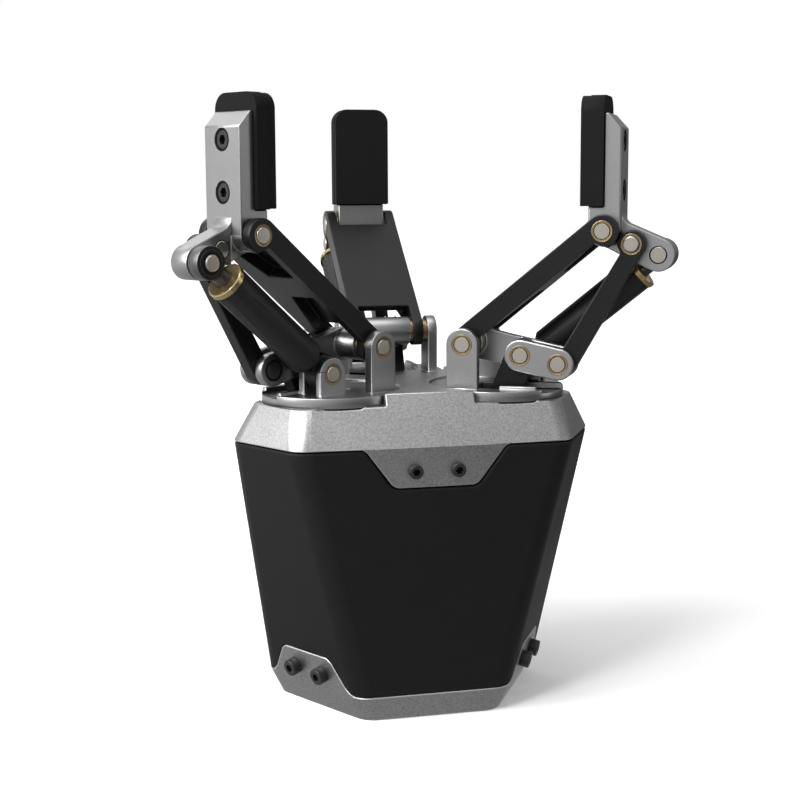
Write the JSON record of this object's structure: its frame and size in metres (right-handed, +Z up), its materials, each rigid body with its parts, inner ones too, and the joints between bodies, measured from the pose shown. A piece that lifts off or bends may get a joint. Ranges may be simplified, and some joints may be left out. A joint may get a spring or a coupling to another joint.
{
  "type": "three finger electric gripper",
  "caption": "Robot gripper with three linkage fingers and rubber pads around a six sided housing; two fingers swivel on turntables and one drive closes all three.",
  "frame": {"origin": "centre of the base's underside, where the gripper bolts to a robot's flange", "axes": "+Z up along the gripper's axis towards the fingertips; the fixed rear finger stands at +Y, the two swivelling fingers at 30 degrees below +X and -X"},
  "size_m": [0.1626, 0.143, 0.1966],
  "materials": {
    "silver": "bead blasted, satin",
    "shell": "black anodised, finely textured",
    "black_link": "black anodised, satin",
    "pad": "matte",
    "strut": "black, satin",
    "steel": "ground",
    "screw_head": "black oxide",
    "motor": "black"
  },
  "bodies": {
    "base": {"base": "silver", "housing_shell": "shell", "top_cover": "silver", "base_screws": "screw_head", "cover_screws": "screw_head", "drive_motor": "motor", "rear_turntable": "silver"},
    "screw": {"lead_screw": "steel"},
    "yoke": {"drive_yoke": "steel"},
    "right_turntable": {"right_turntable": "silver"},
    "left_turntable": {"left_turntable": "silver"},
    "right_link": {"right_main_link": "black_link"},
    "right_tip": {"right_fingertip": "silver", "right_fingertip_pad": "pad"},
    "right_crank": {"right_crank": "silver"},
    "right_drive": {"right_drive_link": "black_link"},
    "right_push": {"right_push_link": "black_link"},
    "right_rod": {"right_push_rod": "steel"},
    "right_strut": {"right_strut_tube": "strut", "right_strut_rod": "strut"},
    "left_link": {"left_main_link": "black_link"},
    "left_tip": {"left_fingertip": "silver", "left_fingertip_pad": "pad"},
    "left_crank": {"left_crank": "silver"},
    "left_drive": {"left_drive_link": "black_link"},
    "left_push": {"left_push_link": "black_link"},
    "left_rod": {"left_push_rod": "steel"},
    "left_strut": {"left_strut_tube": "strut", "left_strut_rod": "strut"},
    "rear_link": {"rear_main_link": "black_link"},
    "rear_tip": {"rear_fingertip": "silver", "rear_fingertip_pad": "pad"},
    "rear_crank": {"rear_crank": "silver"},
    "rear_drive": {"rear_drive_link": "black_link"},
    "rear_push": {"rear_push_link": "black_link"},
    "rear_rod": {"rear_push_rod": "steel"},
    "rear_strut": {"rear_strut_tube": "strut", "rear_strut_rod": "strut"}
  },
  "joints": [
    {"name": "right_swivel", "type": "hinge", "parent": "base", "child": "right_turntable", "pos_m": [0.028, -0.01616, 0.1008], "axis": [0, 0, 1], "range_deg": [-60, 0]},
    {"name": "left_swivel", "type": "hinge", "parent": "base", "child": "left_turntable", "pos_m": [-0.028, -0.01616, 0.1008], "axis": [0, 0, 1], "range_deg": [0, 60]},
    {"name": "right_close", "type": "hinge", "parent": "right_turntable", "child": "right_link", "pos_m": [0.02144, -0.01238, 0.11845], "axis": [-0.5, -0.866, 0], "range_deg": [0, 61.5]},
    {"name": "right_tip", "type": "hinge", "parent": "right_link", "child": "right_tip", "pos_m": [0.05926, -0.03422, 0.1545], "axis": [-0.5, -0.866, 0], "range_deg": [-61.6, 0]},
    {"name": "right_strut", "type": "hinge", "parent": "right_turntable", "child": "right_strut", "pos_m": [0.03573, -0.02063, 0.11084], "axis": [-0.5, -0.866, 0], "range_deg": [0, 61.5]},
    {"name": "right_drive", "type": "hinge", "parent": "right_tip", "child": "right_drive", "pos_m": [0.06677, -0.03855, 0.1504], "axis": [-0.5, -0.866, 0], "range_deg": [0, 68.38]},
    {"name": "right_crank", "type": "hinge", "parent": "right_turntable", "child": "right_crank", "pos_m": [0.02144, -0.01238, 0.11845], "axis": [-0.5, -0.866, 0], "range_deg": [0, 44.33]},
    {"name": "right_push", "type": "hinge", "parent": "right_crank", "child": "right_push", "pos_m": [0.03674, -0.02121, 0.11475], "axis": [-0.5, -0.866, 0], "range_deg": [-40.51, 0]},
    {"name": "right_rod_slide", "type": "slide", "parent": "right_turntable", "child": "right_rod", "axis": [0, 0, 1], "range_m": [0, 0.013]},
    {"name": "left_close", "type": "hinge", "parent": "left_turntable", "child": "left_link", "pos_m": [-0.02144, -0.01238, 0.11845], "axis": [-0.5, 0.866, 0], "range_deg": [0, 61.5]},
    {"name": "left_tip", "type": "hinge", "parent": "left_link", "child": "left_tip", "pos_m": [-0.05926, -0.03422, 0.1545], "axis": [-0.5, 0.866, 0], "range_deg": [-61.6, 0]},
    {"name": "left_strut", "type": "hinge", "parent": "left_turntable", "child": "left_strut", "pos_m": [-0.03573, -0.02063, 0.11084], "axis": [-0.5, 0.866, 0], "range_deg": [0, 61.5]},
    {"name": "left_drive", "type": "hinge", "parent": "left_tip", "child": "left_drive", "pos_m": [-0.06677, -0.03855, 0.1504], "axis": [-0.5, 0.866, 0], "range_deg": [0, 68.38]},
    {"name": "left_crank", "type": "hinge", "parent": "left_turntable", "child": "left_crank", "pos_m": [-0.02144, -0.01238, 0.11845], "axis": [-0.5, 0.866, 0], "range_deg": [0, 44.33]},
    {"name": "left_push", "type": "hinge", "parent": "left_crank", "child": "left_push", "pos_m": [-0.03674, -0.02121, 0.11475], "axis": [-0.5, 0.866, 0], "range_deg": [-40.51, 0]},
    {"name": "left_rod_slide", "type": "slide", "parent": "left_turntable", "child": "left_rod", "axis": [0, 0, 1], "range_m": [0, 0.013]},
    {"name": "rear_close", "type": "hinge", "parent": "base", "child": "rear_link", "pos_m": [0, 0.02476, 0.11845], "axis": [1, 0, 0], "range_deg": [0, 61.5]},
    {"name": "rear_tip", "type": "hinge", "parent": "rear_link", "child": "rear_tip", "pos_m": [0, 0.06843, 0.1545], "axis": [1, 0, 0], "range_deg": [-61.6, 0]},
    {"name": "rear_strut", "type": "hinge", "parent": "base", "child": "rear_strut", "pos_m": [0, 0.04126, 0.11084], "axis": [1, 0, 0], "range_deg": [0, 61.5]},
    {"name": "rear_drive", "type": "hinge", "parent": "rear_tip", "child": "rear_drive", "pos_m": [0, 0.0771, 0.1504], "axis": [1, 0, 0], "range_deg": [0, 68.38]},
    {"name": "rear_crank", "type": "hinge", "parent": "base", "child": "rear_crank", "pos_m": [0, 0.02476, 0.11845], "axis": [1, 0, 0], "range_deg": [0, 44.33]},
    {"name": "rear_push", "type": "hinge", "parent": "rear_crank", "child": "rear_push", "pos_m": [0, 0.04243, 0.11475], "axis": [1, 0, 0], "range_deg": [-40.51, 0]},
    {"name": "rear_rod_slide", "type": "slide", "parent": "base", "child": "rear_rod", "axis": [0, 0, 1], "range_m": [0, 0.013]},
    {"name": "yoke_slide", "type": "slide", "parent": "base", "child": "yoke", "axis": [0, 0, 1], "range_m": [0, 0.013]},
    {"name": "screw_turn", "type": "hinge", "parent": "base", "child": "screw", "pos_m": [0, 0, 0.06], "axis": [0, 0, 1], "range_deg": [-579.94, 0]}
  ],
  "couplings": [
    {"joint": "left_swivel", "follows": "right_swivel", "ratio": -1},
    {"joint": "right_tip", "follows": "right_close", "ratio": -1},
    {"joint": "right_strut", "follows": "right_close", "ratio": 1},
    {"joint": "right_drive", "follows": "right_close", "ratio": 1.1103},
    {"joint": "right_crank", "follows": "right_close", "ratio": 0.71913},
    {"joint": "right_push", "follows": "right_close", "ratio": -0.65707},
    {"joint": "right_rod_slide", "follows": "right_close", "m_per_rad": 0.012005},
    {"joint": "left_close", "follows": "right_close", "ratio": 1},
    {"joint": "left_tip", "follows": "right_close", "ratio": -1},
    {"joint": "left_strut", "follows": "right_close", "ratio": 1},
    {"joint": "left_drive", "follows": "right_close", "ratio": 1.1103},
    {"joint": "left_crank", "follows": "right_close", "ratio": 0.71913},
    {"joint": "left_push", "follows": "right_close", "ratio": -0.65707},
    {"joint": "left_rod_slide", "follows": "right_close", "m_per_rad": 0.012005},
    {"joint": "rear_close", "follows": "right_close", "ratio": 1},
    {"joint": "rear_tip", "follows": "right_close", "ratio": -1},
    {"joint": "rear_strut", "follows": "right_close", "ratio": 1},
    {"joint": "rear_drive", "follows": "right_close", "ratio": 1.1103},
    {"joint": "rear_crank", "follows": "right_close", "ratio": 0.71913},
    {"joint": "rear_push", "follows": "right_close", "ratio": -0.65707},
    {"joint": "rear_rod_slide", "follows": "right_close", "m_per_rad": 0.012005},
    {"joint": "yoke_slide", "follows": "right_close", "m_per_rad": 0.012005},
    {"joint": "screw_turn", "follows": "right_close", "ratio": -9.4283}
  ]
}
